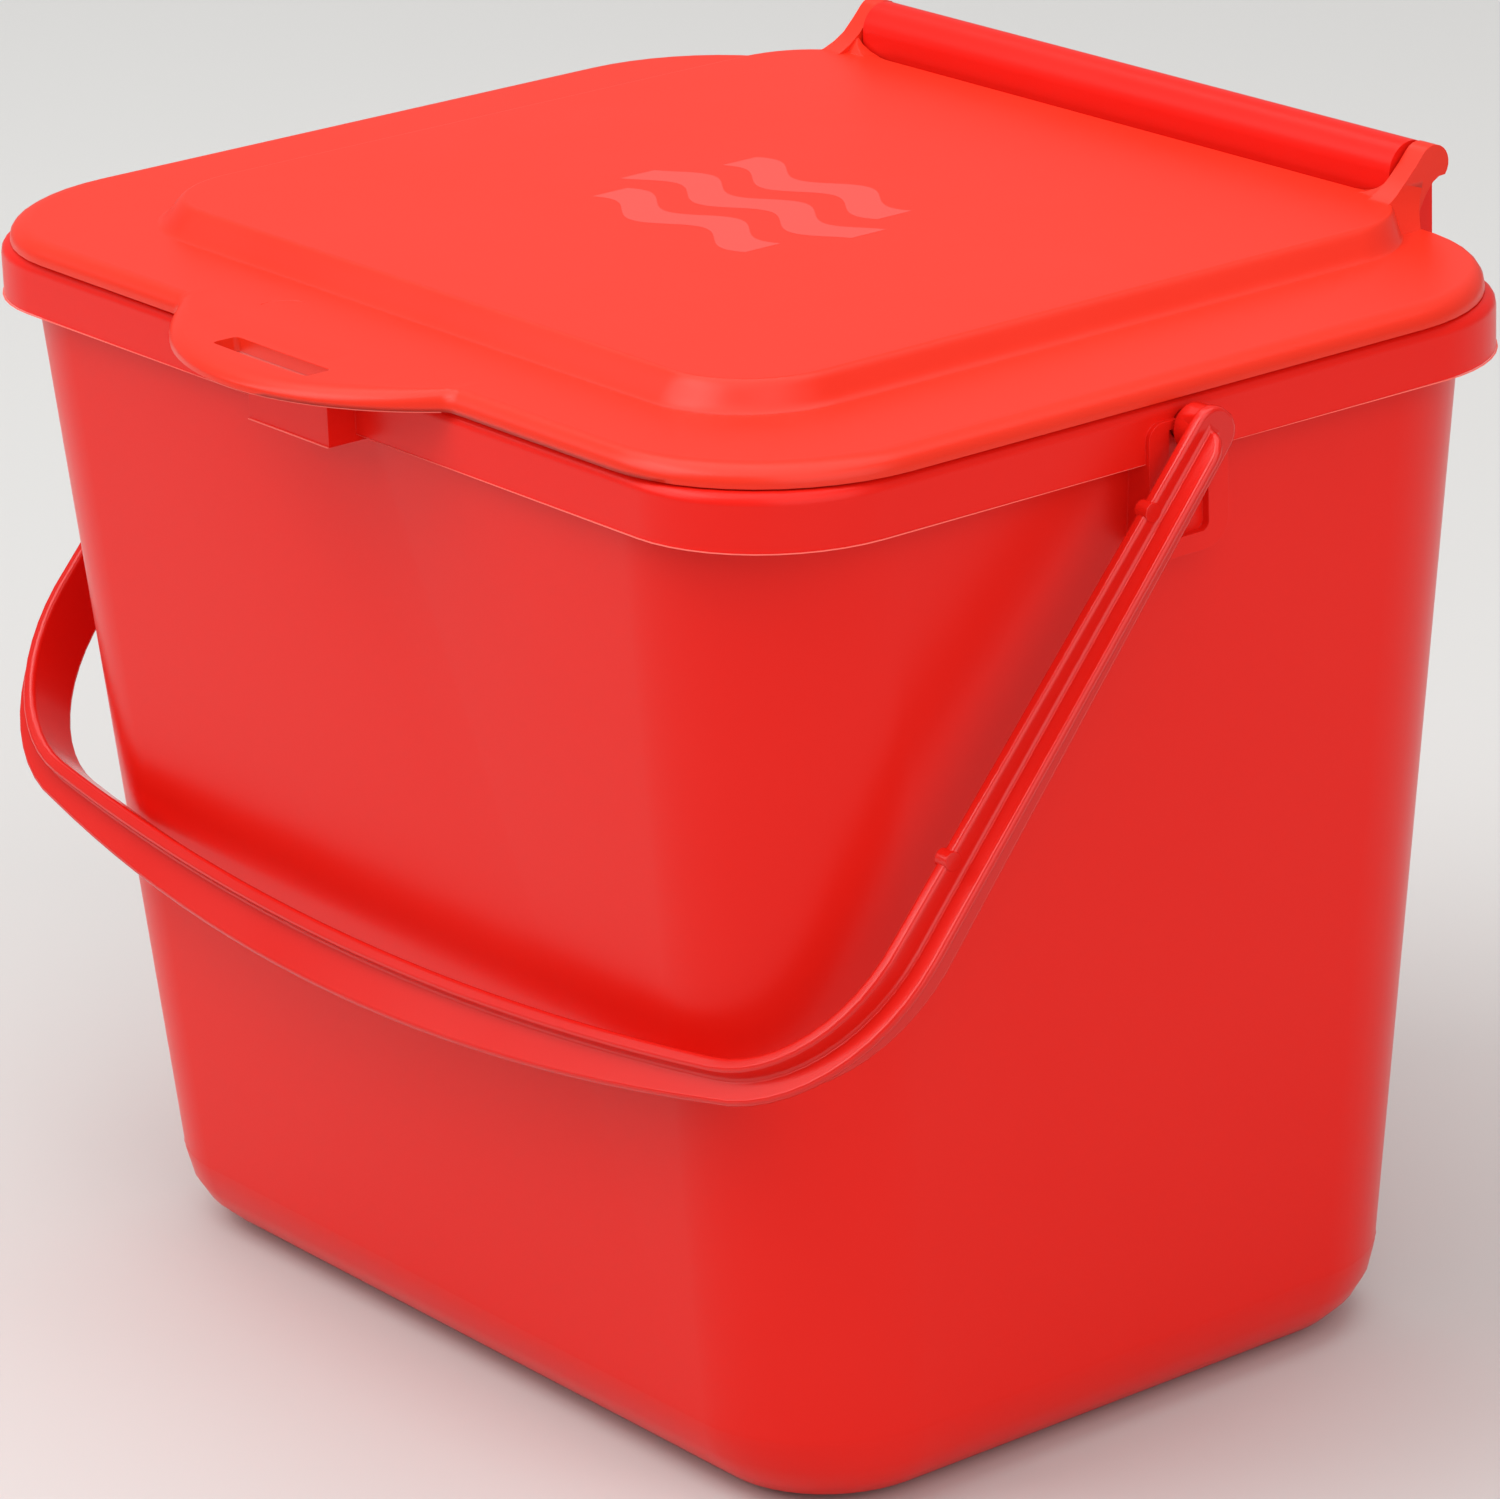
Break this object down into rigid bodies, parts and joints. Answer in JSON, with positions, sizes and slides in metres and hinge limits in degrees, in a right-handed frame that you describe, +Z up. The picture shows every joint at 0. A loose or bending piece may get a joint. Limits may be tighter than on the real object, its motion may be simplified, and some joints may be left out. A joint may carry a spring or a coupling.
{
  "type": "lidded bucket",
  "caption": "Rectangular tapered plastic bucket with rounded corners, a hinged lid with a slotted pull tab, and a ribbed bail handle that swings in side lugs.",
  "frame": {"origin": "middle of the bucket between its sides, and between the front and back of its mouth, at the level of the base", "axes": "+X across the bucket to its right-hand lug, -Y to the front with the pull tab, +Z up"},
  "size_m": [0.265, 0.2129, 0.2129],
  "materials": {
    "bucket_plastic": "satin red polypropylene",
    "lid_plastic": "satin red polypropylene, printed on top",
    "bail_plastic": "semi-gloss red polypropylene"
  },
  "bodies": {
    "bucket": {"bucket": "bucket_plastic"},
    "lid": {"lid": "lid_plastic"},
    "bail_handle": {"bail_handle": "bail_plastic"}
  },
  "joints": [
    {"name": "lid_hinge", "type": "hinge", "parent": "bucket", "child": "lid", "pos_m": [0, 0.09748, 0.2076], "axis": [-1, 0, 0], "range_deg": [0, 110]},
    {"name": "bail_swing", "type": "hinge", "parent": "bucket", "child": "bail_handle", "pos_m": [0, 0.0026, 0.1907], "axis": [-1, 0, 0], "range_deg": [0, 280]}
  ]
}
